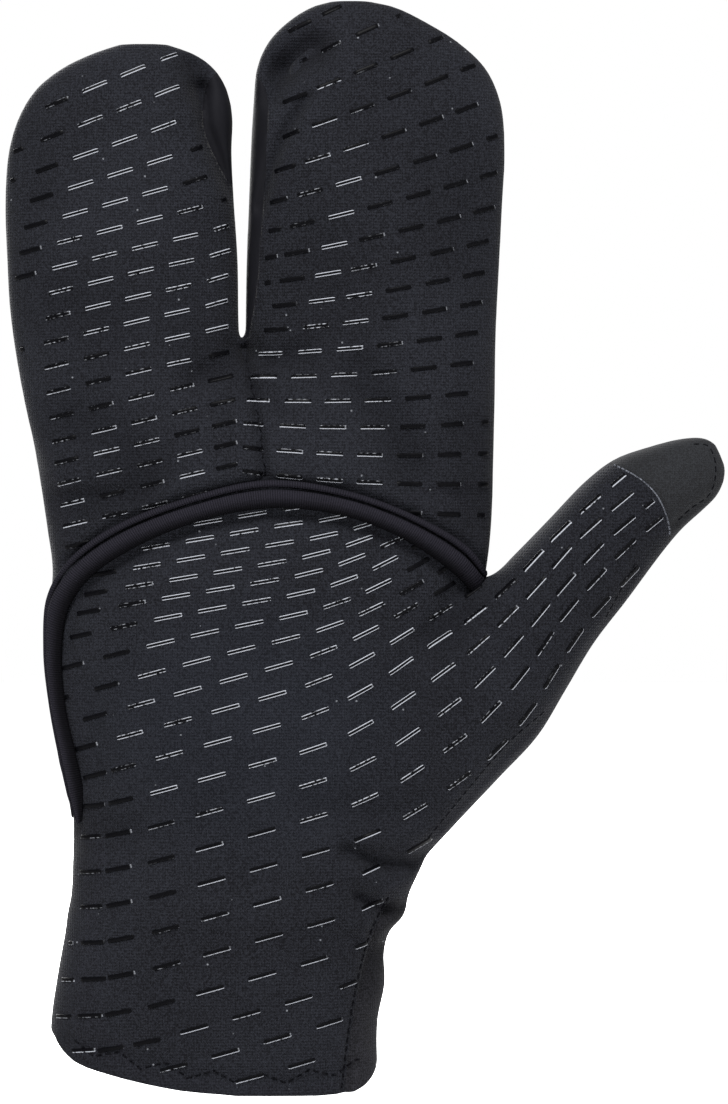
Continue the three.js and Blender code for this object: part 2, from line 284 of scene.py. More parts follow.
def form(rows, squareness, count=150, sides=80):
    """A closed form: at each row, the middle of its edges, plus the oval's share of half its
    width, and of its swell to the palm or the back. Returns points and triangles."""
    ax, az, bx, bz, front, back = smooth_rows(rows, count).T[:, :, None]
    width, out = oval(np.linspace(0, 2 * math.pi, sides, endpoint=False)[None], squareness)
    x = (ax + bx) / 2 + width * (bx - ax) / 2
    z = (az + bz) / 2 + width * (bz - az) / 2
    y = out * np.where(out < 0, front, back)
    ends = [[(ax[e, 0] + bx[e, 0]) / 2, 0, (az[e, 0] + bz[e, 0]) / 2] for e in (0, -1)]
    points = np.concatenate([np.stack([x, y, z], -1).reshape(-1, 3), ends])
    grid = np.arange(count * sides).reshape(count, sides)
    turned = np.roll(grid, -1, axis=1)
    a, b, c, d = grid[:-1].ravel(), turned[:-1].ravel(), turned[1:].ravel(), grid[1:].ravel()
    bottom = np.stack([np.full(sides, count * sides), turned[0], grid[0]], -1)
    top = np.stack([np.full(sides, count * sides + 1), grid[-1], turned[-1]], -1)
    return points, np.concatenate([np.stack([a, b, c], -1), np.stack([a, c, d], -1), bottom, top])


def one_skin(forms, passes):
    """Closed forms joined into one even skin of small faces and softened where they meet."""
    starts = np.cumsum([0] + [len(points) for points, _ in forms[:-1]])
    points = np.concatenate([points for points, _ in forms])
    triangles = np.concatenate([faces + start for (_, faces), start in zip(forms, starts)])
    mesh = bpy.data.meshes.new("skin")
    mesh.from_pydata(points.tolist(), [], triangles.tolist())
    body = bpy.data.objects.new("skin", mesh)
    scene.collection.objects.link(body)
    even = body.modifiers.new("even", "REMESH")
    even.mode = "VOXEL"
    even.voxel_size = SKIN_CELL
    soften = body.modifiers.new("soften", "SMOOTH")
    soften.factor = 0.5
    soften.iterations = passes
    skin = read_mesh(body)
    bpy.data.objects.remove(body)
    return skin


def read_mesh(body):
    """Points and triangles of an object with its modifiers."""
    result = body.evaluated_get(bpy.context.evaluated_depsgraph_get()).to_mesh()
    points = np.empty(len(result.vertices) * 3)
    result.vertices.foreach_get("co", points)
    result.calc_loop_triangles()
    triangles = np.empty(len(result.loop_triangles) * 3, int)
    result.loop_triangles.foreach_get("vertices", triangles)
    return points.reshape(-1, 3), triangles.reshape(-1, 3)


def facing(points, triangles):
    """The way each point faces: its faces' cross products added up and made unit length."""
    a, b, c = (points[triangles[:, i]] for i in range(3))
    cross = np.cross(b - a, c - a)
    total = np.stack([
        np.bincount(triangles.ravel(), np.repeat(cross[:, i], 3), len(points)) for i in range(3)
    ], -1)
    return total / np.maximum(np.linalg.norm(total, axis=1), 1e-9)[:, None]


def off_path(places, path):
    """Distance of places in x, z from a path: the least over its straight stretches."""
    least = np.full(len(places), np.inf)
    for start, end in zip(path[:-1], path[1:]):
        along = end - start
        share = np.clip(((places - start) @ along) / (along @ along), 0, 1)
        least = np.minimum(least, np.linalg.norm(places - start - share[:, None] * along, axis=1))
    return least


def beyond(places, path):
    """How far places in x, z lie on the left of a path, measured square to its end-to-end line."""
    chord = (path[-1] - path[0]) / np.linalg.norm(path[-1] - path[0])
    square = np.array([-chord[1], chord[0]])
    along, height = (path - path[0]) @ chord, (path - path[0]) @ square
    return (places - path[0]) @ square - np.interp((places - path[0]) @ chord, along, height)


def folded(points, folds, side=-1):
    """Points sunk by a bell curve of the distance from each fold's path, on one face only, with a
    fourth number, from 0 to 1, for the shade painted by how deep in the folds a point lies."""
    sunk = np.zeros(len(points))
    painted_fold_shade = np.zeros(len(points))
    weight = np.clip(side * points[:, 1] / FOLD_FADES, 0, 1)
    for path, reach, depth in folds:
        distance = off_path(points[:, [0, 2]], seen_at(path, FOLDS_NEARER))
        bell = depth * weight * np.exp(-((distance / reach) ** 2))
        sunk += bell
        painted_fold_shade += np.maximum(bell, 0)
    moved = points[:, 1] - side * sunk
    return np.stack([points[:, 0], moved, points[:, 2], np.clip(painted_fold_shade / DEEP_FOLD, 0, 1)], -1)


def shaped(points, triangles, folds):
    """A skin with what smoothing took off put back, with its folds, and pinched at its seams by a
    bell curve of the distance from the seam plane."""
    points = folded(points + facing(points, triangles) * SMOOTHED_OFF, folds)
    points[:, 1] *= 1 - SEAM_DIP / HALF_DEPTH * np.exp(-((points[:, 1] / SEAM_REACH) ** 2))
    return points


def cut(points, triangles, side):
    """The part of a skin where `side` is above 0, cut through the faces along its zero line."""
    keep = side > 0
    kept = keep[triangles].sum(1)
    odd_one = np.where(kept == 1, keep[triangles].argmax(1), (~keep[triangles]).argmax(1))
    turned = np.take_along_axis(triangles, (odd_one[:, None] + np.arange(3)) % 3, 1)
    one, two = turned[kept == 1], turned[kept == 2]
    pairs = np.concatenate([one[:, [0, 1]], one[:, [0, 2]], two[:, [0, 1]], two[:, [0, 2]]])
    pairs = np.sort(pairs, 1)
    edges, place = np.unique(pairs, axis=0, return_inverse=True)
    share = (side[edges[:, 0]] / (side[edges[:, 0]] - side[edges[:, 1]]))[:, None]
    fresh = points[edges[:, 0]] * (1 - share) + points[edges[:, 1]] * share
    place = place.ravel() + len(points)
    n, m = len(one), len(two)
    p, q, r, s = place[:n], place[n:2 * n], place[2 * n:2 * n + m], place[2 * n + m:]
    faces = np.concatenate([
        triangles[kept == 3],
        np.stack([one[:, 0], p, q], -1),
        np.stack([two[:, 1], two[:, 2], s], -1),
        np.stack([two[:, 1], s, r], -1),
    ])
    used, faces = np.unique(faces, return_inverse=True)
    return np.concatenate([points, fresh])[used], faces.reshape(-1, 3)


def piece_of(name, points, triangles, finish, slot):
    """A piece that rides on the glove, from points in mm and triangles. A fourth number of each
    point, the painted shade of its folds, is kept as a point attribute."""
    mesh = bpy.data.meshes.new(name)
    mesh.from_pydata((points[:, :3] * MM).tolist(), [], triangles.tolist())
    if points.shape[1] > 3:
        mesh.attributes.new("painted_fold_shade", "FLOAT", "POINT").data.foreach_set("value", points[:, 3])
    mesh.materials.append(finish)
    mesh.shade_smooth()
    piece = bpy.data.objects.new(name, mesh)
    scene.collection.objects.link(piece)
    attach(piece, "root")
    return piece


def walled(piece, thickness):
    """Gives a skin its cloth's thickness, inwards."""
    wall = piece.modifiers.new("wall", "SOLIDIFY")
    wall.thickness = thickness * MM
    wall.offset = -1


class Value:
    """A socket of a material's nodes. Sums, differences and products of values add Math nodes."""

    def __init__(self, socket):
        self.socket = socket

    def node(self, kind, settings=None, inputs=None, output=0):
        """A further node of the same material: its kind, settings, and sockets' values or links."""
        tree = self.socket.id_data
        added = tree.nodes.new(kind)
        for key, value in (settings or {}).items():
            setattr(added, key, value)
        for key, value in (inputs or {}).items():
            if isinstance(value, Value):
                tree.links.new(value.socket, added.inputs[key])
            else:
                added.inputs[key].default_value = value
        return Value(added.outputs[output])

    def math(self, operation, *others):
        return self.node("ShaderNodeMath", {"operation": operation},
                         dict(enumerate((self, *others))))

    def __add__(self, other):
        return self.math("ADD", other)

    def __sub__(self, other):
        return self.math("SUBTRACT", other)

    def __mul__(self, other):
        return self.math("MULTIPLY", other)

    def __truediv__(self, other):
        return self.math("DIVIDE", other)

    def __rsub__(self, other):
        return (self * -1) + other

    __radd__ = __add__
    __rmul__ = __mul__

    def ramp(self, low, high):
        """A smooth step from 0 to 1 between two values."""
        return self.node("ShaderNodeMapRange", {"interpolation_type": "SMOOTHSTEP"},
                         {0: self, 1: low, 2: high})

    def blend(self, first, second):
        """Two colours mixed by this value."""
        return self.node("ShaderNodeMix", {"data_type": "RGBA"}, {0: self, 6: first, 7: second}, 2)

    def noise(self, scale, detail=2.0):
        """A soft random pattern at this place, of `scale` features a metre."""
        return self.node("ShaderNodeTexNoise", {},
                         {"Vector": self, "Scale": scale, "Detail": detail})

    def bump(self, strength, depth):
        """The surface turned as if it stood up by this height, `depth` mm from 0 to 1."""
        return self.node("ShaderNodeBump", {},
                         {"Strength": strength, "Distance": depth * MM, "Height": self})

    def parts(self):
        """Its numbers along x, y and z."""
        return [self.node("ShaderNodeSeparateXYZ", {}, {0: self}, i) for i in range(3)]

    def attribute(self, name):
        """A number that the piece's points hold."""
        return self.node("ShaderNodeAttribute", {"attribute_name": name}, output="Fac")


def start_finish(name, roughness, gloss):
    """A new finish, its main shader, and the place on the piece that its patterns read."""
    finish = bpy.data.materials.new(name)
    finish.use_nodes = True
    shader = finish.node_tree.nodes["Principled BSDF"]
    shader.inputs["Roughness"].default_value = roughness
    shader.inputs["Specular IOR Level"].default_value = gloss
    place = Value(finish.node_tree.nodes.new("ShaderNodeTexCoord").outputs["Object"])
    return finish, shader, place


def feed(shader, key, value):
    """Links a value to a socket of the shader."""
    shader.id_data.links.new(value.socket, shader.inputs[key])


def with_painted_fold_shade(colour):
    """A cloth's colour darkened by painted shade in the depth of its folds."""
    return (colour.attribute("painted_fold_shade") * 0.45).blend(colour, linear(2, 2, 3))


def linear(*levels):
    """A colour's linear parts from its 0 to 255 levels."""
    parts = [level / 255 for level in levels]
    return tuple(p / 12.92 if p < 0.04045 else ((p + 0.055) / 1.055) ** 2.4 for p in parts) + (1,)


def jersey(name, dark, light, stitch_mm, depth, blue_sheen=0.0, lint=1.0):
    """A knit finish: rows of stitches as crossed sine ridges, soft cloudy tone, and specks, with
    painted shade in its folds and, where asked, a painted bluish sheen.
    """
    finish, shader, place = start_finish(name, 0.9, 0.02)
    x, _, z = place.parts()
    turns = 2 * math.pi / (stitch_mm * MM)
    wales = (x * turns).math("SINE")
    courses = (z * (turns * 0.8) + wales * 0.8).math("SINE")
    clouds = place.noise(38.0, 3.0)
    fuzz = place.noise(2300.0)
    knit = wales * 0.4 + courses * 0.6 + fuzz * 2.0
    shade = clouds.ramp(0.3, 0.7) * 0.2 + (wales + courses) * 0.08 + fuzz.ramp(0.34, 0.66) * 0.65
    colour = shade.blend(dark, light)
    # A painted bluish sheen over the middle of the palm
    if blue_sheen:
        from_x = (x - SHEEN_MIDDLE[0] * MM) / (SHEEN_REACH[0] * MM)
        from_z = (z - SHEEN_MIDDLE[1] * MM) / (SHEEN_REACH[1] * MM)
        painted_sheen = (1 - (from_x * from_x + from_z * from_z)).ramp(0.0, 1.0) * blue_sheen
        colour = painted_sheen.blend(colour, linear(14, 18, 25))
    specks = place.node("ShaderNodeTexVoronoi", {}, {"Vector": place, "Scale": 230.0})
    chance = place.noise(140.0, 0.0).ramp(0.52, 0.6)
    speck = (1 - specks.ramp(0.03, 0.07)) * chance * (0.6 * lint)
    colour = speck.blend(with_painted_fold_shade(colour), linear(88, 90, 94))
    feed(shader, "Base Color", colour)
    shader.inputs["Sheen Weight"].default_value = 0.02
    shader.inputs["Sheen Roughness"].default_value = 0.4
    feed(shader, "Normal", knit.bump(0.6, depth))
    return finish


grip_jersey = jersey("grip_jersey", linear(8, 8, 10), linear(22, 23, 27), 0.55, 0.14, blue_sheen=0.12)


def oval_share(distance, half):
    """A distance from the middle of a hand's oval as the cosine or sine of its angle there."""
    return np.sign(distance) * np.clip(np.abs(distance) / half, 0, 1) ** (HAND_OVAL / 2)


def smooth_path(pixels, nearer):
    """A smooth path in x, z through picture points."""
    return smooth_rows(seen_at(pixels, nearer), PATH_STEPS)


hand_rows = across_rows(HAND)
finger_forms = []
for root, tip, top, half in FINGERS:
    rows = [[FINGER_ROOT + (top - FINGER_ROOT) * along, root + (tip - root) * along - half * width,
             root + (tip - root) * along + half * width, depth, depth]
            for along, width, depth in FINGER_FORM]
    finger_forms.append(form(across_rows(rows), THUMB_OVAL, count=60, sides=40))
glove_points, glove_faces = one_skin(
    [form(hand_rows, HAND_OVAL), form(THUMB, THUMB_OVAL, count=110, sides=60), *finger_forms],
    passes=7)
glove_points = shaped(glove_points, glove_faces, GLOVE_FOLDS)
hem_table = np.array(HEM)[::-1]
hem_turn = np.arccos(oval_share(hem_table[:, 0], CUFF_HALF_WIDTH))
turn = np.arctan2(oval_share(np.abs(glove_points[:, 1]), CUFF_SWELL),
                  oval_share(glove_points[:, 0], CUFF_HALF_WIDTH))
above_hem = glove_points[:, 2] - np.interp(turn, hem_turn, hem_table[:, 1])
glove_points, glove_faces = cut(glove_points, glove_faces, above_hem)

wrist_path = smooth_path(WRIST_SEAM, SEAMS_NEARER)
tip_path = smooth_path(THUMB_TIP_SEAM, TIP_SEAM_NEARER)


def on_wrap(points):
    """Above 0 where the back panel wraps round to the palm side at the wrist."""
    places = points[:, [0, 2]]
    return np.minimum(-beyond(places, wrist_path), seen_at([0, WRAP_TOP])[1] - points[:, 2])


def past_tip_seam(points):
    """Above 0 on the thumb's tip, beyond the touch panel's seam."""
    return np.where(points[:, 0] > THUMB_FROM, beyond(points[:, [0, 2]], tip_path), -1.0)


front = cut(glove_points, glove_faces,
            np.minimum(-glove_points[:, 1], -on_wrap(glove_points)))
palm_points, palm_faces = cut(*front, -past_tip_seam(front[0]))
glove_palm = piece_of("glove_palm_cloth", palm_points, palm_faces, grip_jersey, "grip_fabric")
walled(glove_palm, GLOVE_WALL)
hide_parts("glove_palm")


# Thumb tip: a softer, slightly paler knit that works a touch screen, set into the palm side of
# the thumb on a curved seam whose lit edge shows as a pale line, painted as a highlight in its
# thread's colour.
touch_knit = jersey("touch_knit", linear(16, 16, 17), linear(25, 26, 28), 0.42, 0.05, lint=0.9)
tip_points, tip_faces = cut(*front, past_tip_seam(front[0]) - 0.1)
thumb_tip = piece_of("thumb_tip_cloth", tip_points, tip_faces, touch_knit, "touch_fabric")
walled(thumb_tip, GLOVE_WALL)
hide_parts("thumb_tip")


# Glove back: plain stretch jersey over the back of the hand, the thumb and the fingers, coming
# round to the palm side at the wrist.
stretch_jersey = jersey("stretch_jersey", linear(9, 9, 10), linear(25, 25, 28), 0.5, 0.1)
back_points, back_faces = cut(
    glove_points, glove_faces,
    np.maximum(glove_points[:, 1], on_wrap(glove_points)))
glove_back = piece_of("glove_back_cloth", back_points, back_faces, stretch_jersey, "stretch_fabric")
walled(glove_back, GLOVE_WALL)
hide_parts("glove_back")


# Hood palm: the same gripping jersey as the palm, cut as two pouches with a slit between them. It
# turns from the back over the fingertips and ends under the tape of the mouth.
HOOD_WALL = 1.1
# Where the hood's base starts, how far it stands off the glove, and where that comes to its full
HOOD_FOOT = 60
HOOD_OUTSIDE = 1.55
LEAST_SHARE = 0.25
STANDS_OFF_FROM = 61
STANDS_OFF_OVER = 15
LEFT_POUCH = [
    # z, left edge, right edge, swell to the palm, swell to the back
    [140, -38.6, 6.2, 13.4, 13.4],
    [158, -43.1, 6, 12.9, 12.9],
    [178.3, -46.5, 5.5, 11.8, 11.8],
    [192, -47.4, 5.3, 11.2, 11.2],
    [206, -47.8, 4.4, 10.6, 10.6],
    [217, -47, 3.9, 10, 10],
    [225, -44.6, 4.1, 9.4, 9.4],
    [231.2, -40.7, 2.8, 8.4, 8.4],
    [235.8, -35, 0, 7, 7],
    [239, -28.6, -4.2, 5.2, 5.2],
    [241.4, -21.8, -10.6, 3, 3],
]
RIGHT_POUCH = [
    [140, 7, 63.8, 13.4, 13.4],
    [158, 7.2, 64.4, 12.9, 12.9],
    [176, 7.4, 64.7, 11.9, 11.9],
    [190, 7.6, 65.4, 11.4, 11.4],
    [204, 8.1, 66.1, 11, 11],
    [217, 8.6, 66.7, 10.4, 10.4],
    [228, 9.2, 65.8, 9.8, 9.8],
    [236, 10, 62.3, 8.8, 8.8],
    [242, 12.6, 56, 7.4, 7.4],
    [246.6, 17, 48.6, 5.6, 5.6],
    [250, 22.4, 41.6, 3.6, 3.6],
    [251.4, 27.2, 35.4, 2, 2],
]
MOUTH = [
    # inner edge of the tape x, y, its outer edge x, y, in pixels, from the little finger's side
    [78, 824, 76, 825],
    [78, 796, 70, 799],
    [70, 755, 59, 750],
    [59, 708, 51, 705],
    [56, 655, 45, 650],
    [63, 610, 48.5, 597],
    [84, 580, 66, 561],
    [128, 550, 112, 526],
    [199, 521, 190, 496],
    [270, 508, 268, 479],
    [341, 515, 348, 490],
    [403, 538, 416, 515],
    [453, 571, 468, 546],
    [476, 594, 492, 577],
]
CENTRE_SEAM = [(243, 347), (247, 366), (254, 398), (261, 436), (265, 474)]
HOOD_FOLDS = [
    # Each fold sinks the cloth and, by how deep it sinks, also paints shade into its colour
    # right pouch: the dimple and the crease below its rounded corner
    ([(314, 44), (300, 50), (284, 64)], 4, 4.4),
    ([(284, 64), (274, 80), (272, 94)], 2.6, 1.8),
    ([(306, 96), (286, 128), (272, 160), (260, 205)], 1.6, 1.9),
    ([(312, 96), (302, 136), (286, 190)], 4.4, -1.2),
    ([(336, 60), (356, 80)], 7, -0.8),
    # left pouch: the deep dent inside its right edge
    ([(192, 62), (197, 84)], 3.6, 3),
    ([(199, 84), (204, 124), (219, 163), (231, 186)], 1.9, 3.2),
    ([(229, 100), (232, 150)], 1.8, -0.7),
    ([(180, 100), (196, 160), (212, 204)], 4, -1.1),
    # seam between the pouches, and the soft folds round it
    (CENTRE_SEAM, 1.2, 1.9),
    ([(238, 352), (222, 368), (196, 376)], 3.2, 1.8),
    ([(250, 352), (268, 360), (300, 352)], 3.2, 1.7),
    ([(240, 385), (222, 408)], 3, 1.1),
    ([(262, 392), (282, 410)], 3, 1.1),
    ([(274, 424), (280, 466)], 5, -1.2),
    ([(238, 412), (246, 462)], 5, -1.2),
    # broad soft dents, and the cloth standing up along the tape, with painted shade beside the
    # tape's outer edge
    ([(70, 418), (112, 440), (150, 470)], 7, 2),
    ([(52, 470), (60, 520), (58, 560)], 5, -1.1),
    ([(62, 505), (100, 505), (140, 492)], 4.2, 1.4),
    ([(150, 500), (190, 484), (230, 470)], 3.5, -1.1),
    ([(360, 375), (390, 420), (412, 462)], 5.4, 2),
    ([(338, 396), (362, 450)], 6, -1.2),
    ([(300, 466), (350, 474), (400, 494)], 3.5, -1),
    ([(440, 400), (452, 470)], 7, -1),
    ([(470, 430), (478, 520)], 5, 1.2),
    ([(60, 300), (110, 330)], 10, 1.2),
    ([(140, 220), (150, 300)], 13, -1.2),
    ([(178, 300), (190, 345)], 6, 1),
    ([(380, 180), (390, 290)], 14, -1.2),
    ([(330, 250), (320, 330)], 9, 1),
    ([(450, 150), (470, 260)], 8, 1),
    ([(28, 130), (40, 200)], 5, 1),
    ([row[2:] for row in MOUTH[6:]], 1.2, 1.3),
]
# The turned edges of the pouches beside the slit, where the back panel shows, in pixels
LEFT_TURN = [(238, 60), (208, 78), (203, 124), (218, 163), (233, 190), (240, 214)]
RIGHT_TURN = [(246, 66), (264, 84), (266, 150), (262, 215), (256, 290), (248, 338)]

# The slit's place and lower end, the height over which it opens, how far its sides are held
# apart, over what width that starts and dies away, and the rounds that lead back from it
SLIT_X = 6.4
SLIT_END = 166
SLIT_OPENS = 8
SLIT_SPREAD = 1.5
SPREAD_STARTS = 0.9
SPREAD_ENDS = 7
ROUNDS_BACK = 24
ROUND_DIVISOR = 2.7
# How near the mouth's two edges are seen, how deep the panel is tucked under the tape, and the
# feet of the panel over the palm and of its strip beside the tape
MOUTH_STEPS = 420
MOUTH_NEARER = 15
TAPE_NEARER = 13
TUCKED = 3.2
STRIP_TUCKED = 0.6
PALM_FOOT = 100
STRIP_FOOT = 66
FAR = 99


def grown(rows, grow):
    """Rows of a form moved outwards by `grow`, and upwards near the tip."""
    edge = rows[:, 2:4] - rows[:, 0:2]
    edge /= np.linalg.norm(edge, axis=1)[:, None]
    shift = grow * np.linspace(0, 1, len(rows))[:, None] ** 4 * np.array([0, 1])
    return np.concatenate([rows[:, 0:2] + (shift - edge * grow),
                           rows[:, 2:4] + (shift + edge * grow), rows[:, 4:6] + grow], 1)


def spread(x, z):
    """How far the slit's two sides are held apart while the skin is evened: most at the slit,
    dying away over a few millimetres, and none below its end."""
    away = x - SLIT_X
    rise = np.clip((z - SLIT_END) / SLIT_OPENS, 0, 1)
    return SLIT_SPREAD * rise * np.tanh(away / SPREAD_STARTS) * np.exp(-np.abs(away) / SPREAD_ENDS)


hood_rows = hand_rows[hand_rows[:, 1] > HOOD_FOOT]
off_share = np.clip((hood_rows[:, 1:2] - STANDS_OFF_FROM) / STANDS_OFF_OVER, LEAST_SHARE, 1)
hood_rows = grown(hood_rows, HOOD_OUTSIDE * off_share)
hood_forms = [form(rows, HAND_OVAL)
              for rows in (hood_rows, across_rows(LEFT_POUCH), across_rows(RIGHT_POUCH))]
for points, _ in hood_forms:
    points[:, 0] += spread(points[:, 0], points[:, 2])
hood_points, hood_faces = one_skin(hood_forms, passes=6)
held_apart = hood_points[:, 0].copy()
for _ in range(ROUNDS_BACK):
    still_apart = hood_points[:, 0] + spread(hood_points[:, 0], hood_points[:, 2]) - held_apart
    hood_points[:, 0] -= still_apart / ROUND_DIVISOR
hood_points = shaped(hood_points, hood_faces, HOOD_FOLDS)
left_turn = smooth_path(LEFT_TURN, SEAMS_NEARER)[::-1]
right_turn = smooth_path(RIGHT_TURN, SEAMS_NEARER)[::-1]


def on_turn(points):
    """Above 0 on the turned edges beside the slit: between a path and the slit."""
    x, z = points[:, 0], points[:, 2]
    left_edge = np.interp(z, left_turn[:, 1], left_turn[:, 0], FAR, FAR)
    right_edge = np.interp(z, right_turn[:, 1], right_turn[:, 0], -FAR, -FAR)
    return np.maximum(np.minimum(x - left_edge, SLIT_X - x), np.minimum(right_edge - x, x - SLIT_X))


mouth_edges = smooth_rows(MOUTH, MOUTH_STEPS)
mouth_path = seen_at(mouth_edges[:, :2], MOUTH_NEARER)
outer_edge = seen_at(mouth_edges[:, 2:], TAPE_NEARER)
hood_front = cut(hood_points, hood_faces, -np.maximum(hood_points[:, 1], on_turn(hood_points)))
x, _, z = hood_front[0][:, :3].T
outside_mouth = beyond(hood_front[0][:, [0, 2]], mouth_path) - TUCKED
outside_mouth = np.minimum(outside_mouth, z - PALM_FOOT)
# On the little finger's side the panel goes on below, between the tape and the side seam
tape_side = outer_edge[:outer_edge[:, 1].argmax()]
beside_tape = np.interp(z, tape_side[:, 1], tape_side[:, 0]) + STRIP_TUCKED - x
beside_tape = np.minimum(beside_tape, np.minimum(z - STRIP_FOOT, -x))
hood_front = cut(*hood_front, np.maximum(outside_mouth, beside_tape))
hood_palm = piece_of("hood_palm_cloth", *hood_front, grip_jersey, "grip_fabric")
walled(hood_palm, HOOD_WALL)
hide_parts("hood_palm")


# Hood back: thin smooth windproof cloth, sewn across the back of the hand on a slanting seam. It
# turns round the pouches' edges to the hood's palm.
BACK_SEAM = np.array([[-36.0, 62.0], [63.0, 117.0]])
BACK_FOLDS = [
    # each fold also paints shade into the wind cloth's colour by how deep it sinks
    # the edge sewn down on the glove, and soft dents
    ([(57, 825), (488, 586)], 3, 1.3),
    ([(60, 520), (180, 560), (330, 545), (470, 500)], 6, 0.7),
    ([(80, 420), (230, 455), (400, 430)], 9, 0.5),
    ([(243, 345), (250, 420), (252, 500)], 4, 0.6),
]
WIND_THREAD = 0.35


def wind_cloth_finish():
    """Plain woven cloth: crossed sine ridges for its fine threads, under a few broad creases,
    darkened by painted shade in its folds.
    """
    finish, shader, place = start_finish("wind_cloth", 0.75, 0.03)
    x, _, z = place.parts()
    turns = 2 * math.pi / (WIND_THREAD * MM)
    weave = (x * turns).math("SINE") * (z * turns).math("SINE")
    shade = place.noise(30.0, 4.0) * 0.8 + weave * 0.1
    feed(shader, "Base Color", with_painted_fold_shade(shade.blend(linear(5, 5, 7), linear(15, 15, 18))))
    feed(shader, "Normal", (weave * 0.25 + place.noise(70.0, 3.0) * 6.0).bump(0.4, 0.1))
    return finish


wind_cloth = wind_cloth_finish()
hood_rear_points = folded(hood_points, BACK_FOLDS, 1)
hood_rear = cut(hood_rear_points, hood_faces, np.maximum(hood_points[:, 1], on_turn(hood_points)))
slope = (BACK_SEAM[1, 1] - BACK_SEAM[0, 1]) / (BACK_SEAM[1, 0] - BACK_SEAM[0, 0])
seam_height = BACK_SEAM[0, 1] + slope * (hood_rear[0][:, 0] - BACK_SEAM[0, 0])
hood_rear = cut(*hood_rear, hood_rear[0][:, 2] - seam_height)
hood_back = piece_of("hood_back_cloth", *hood_rear, wind_cloth, "wind_fabric")
walled(hood_back, HOOD_WALL)
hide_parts("hood_back")


# Opening binding: ribbed elastic tape folded over the edge of the hood's mouth. A round outer
# ridge and a broad inner band lie side by side with a groove between, and both taper to the ends.
TAPE_SECTION = [
    # place across from the mouth's edge, height over the hood's face
    [0, -1.3], [0.01, -0.9], [0.03, -0.2], [0.08, 0.4], [0.16, 0.85], [0.3, 1.3], [0.45, 1.5],
    [0.55, 1.4], [0.61, 0.9], [0.645, 0], [0.665, -0.6], [0.685, 0], [0.72, 0.9], [0.78, 1.35],
    [0.85, 1.4], [0.92, 1.05], [0.97, 0.2], [1, -1.3],
]
TAPE_ACROSS = 60
TAPE_UNDERSIDE = 7
TAPE_END_TAPER = 0.06
TAPE_END_SHARE = 0.12
RIB = 0.52
GROOVE_AT = 0.665
BASE_STEPS = 600
# Small turns and rises that give the slope of the hood's base
NUDGE_ANGLE = 0.002
NUDGE_Z = 0.05


def tape_finish():
    """Ribbed elastic: ridges across the tape read from its own length, with painted shade: black in
    the groove, darker towards the inner edge, where the tape turns in, and at the outer edge."""
    finish, shader, place = start_finish("binding_tape", 0.85, 0.01)
    along, across, _ = place.node("ShaderNodeUVMap").parts()
    ribs = (along * (2 * math.pi / RIB)).math("SINE")
    # painted shade: the groove black, both edges darker
    painted_groove_shade = 1 - (across - GROOVE_AT).math("ABSOLUTE").ramp(0.02, 0.07)
    edges = 1 - across.ramp(0.0, 0.42) + across.ramp(0.92, 1.0)
    shade = ribs * 0.3 + 0.4 + place.noise(900.0) * 0.25
    colour = shade.blend(linear(7, 7, 9), linear(23, 22, 27))
    feed(shader, "Base Color", (painted_groove_shade + edges * 0.8).blend(colour, linear(1, 1, 1)))
    feed(shader, "Normal", (ribs + place.noise(1500.0) * 0.5).bump(0.5, 0.12))
    return finish


base_rows = smooth_rows(hood_rows, BASE_STEPS)


def on_hood_base(angle, z):
    """Places on the hood's base: its section at height z, turned to by an angle of the oval."""
    left, right, swell, rear = (
        np.interp(z, base_rows[:, 1], base_rows[:, i]) for i in (0, 2, 4, 5))
    width, out = oval(angle, HAND_OVAL)
    return np.stack([(left + right) / 2 + width * (right - left) / 2,
                     out * np.where(out < 0, swell, rear), z], -1)


def base_angle(places):
    """The oval's angle, on the palm side, of places in x, z."""
    left, right = (np.interp(places[:, 1], base_rows[:, 1], base_rows[:, i]) for i in (0, 2))
    return -np.arccos(oval_share(2 * places[:, 0] - left - right, right - left))


def reach_along(line):
    """How far each point of a line lies from its start, along it."""
    return np.r_[0, np.cumsum(np.linalg.norm(np.diff(line, axis=0), axis=1))]


def give_map(piece, uv):
    """Gives a piece its own UV map, from two numbers for each of its points."""
    corner = np.empty(len(piece.data.loops), int)
    piece.data.loops.foreach_get("vertex_index", corner)
    piece.data.uv_layers.new(name="own").data.foreach_set("uv", uv[corner].ravel())


def grid_faces(rows, columns, closed=False):
    """Triangles over a grid of points, joined round its columns if it is closed."""
    grid = np.arange(rows * columns).reshape(rows, columns)
    if closed:
        grid = np.concatenate([grid, grid[:, :1]], 1)
    a, b = grid[:-1, :-1].ravel(), grid[:-1, 1:].ravel()
    c, d = grid[1:, 1:].ravel(), grid[1:, :-1].ravel()
    return np.concatenate([np.stack([a, b, c], -1), np.stack([a, c, d], -1)])


chart = np.array(TAPE_SECTION)
share = np.r_[np.linspace(0, 1, TAPE_ACROSS), np.linspace(1, 0, TAPE_UNDERSIDE)[1:-1]]
top_side = np.arange(len(share)) < TAPE_ACROSS
height = np.where(top_side, np.interp(share, chart[:, 0], chart[:, 1]), chart[0, 1])
t = np.linspace(0, 1, MOUTH_STEPS)[:, None]
fade = np.clip(np.minimum(t, 1 - t) / TAPE_END_TAPER, TAPE_END_SHARE, 1) ** 0.5
inner_angle, outer_angle = base_angle(mouth_path)[:, None], base_angle(outer_edge)[:, None]
angle = inner_angle + (outer_angle - inner_angle) * share
tape_z = mouth_path[:, 1:] + (outer_edge[:, 1:] - mouth_path[:, 1:]) * share
place = on_hood_base(angle, tape_z)
outwards = np.cross(on_hood_base(angle + NUDGE_ANGLE, tape_z) - place,
                    on_hood_base(angle, tape_z + NUDGE_Z) - place)
outwards /= np.linalg.norm(outwards, axis=-1, keepdims=True)
tape_points = place + outwards * (height * fade)[..., None]
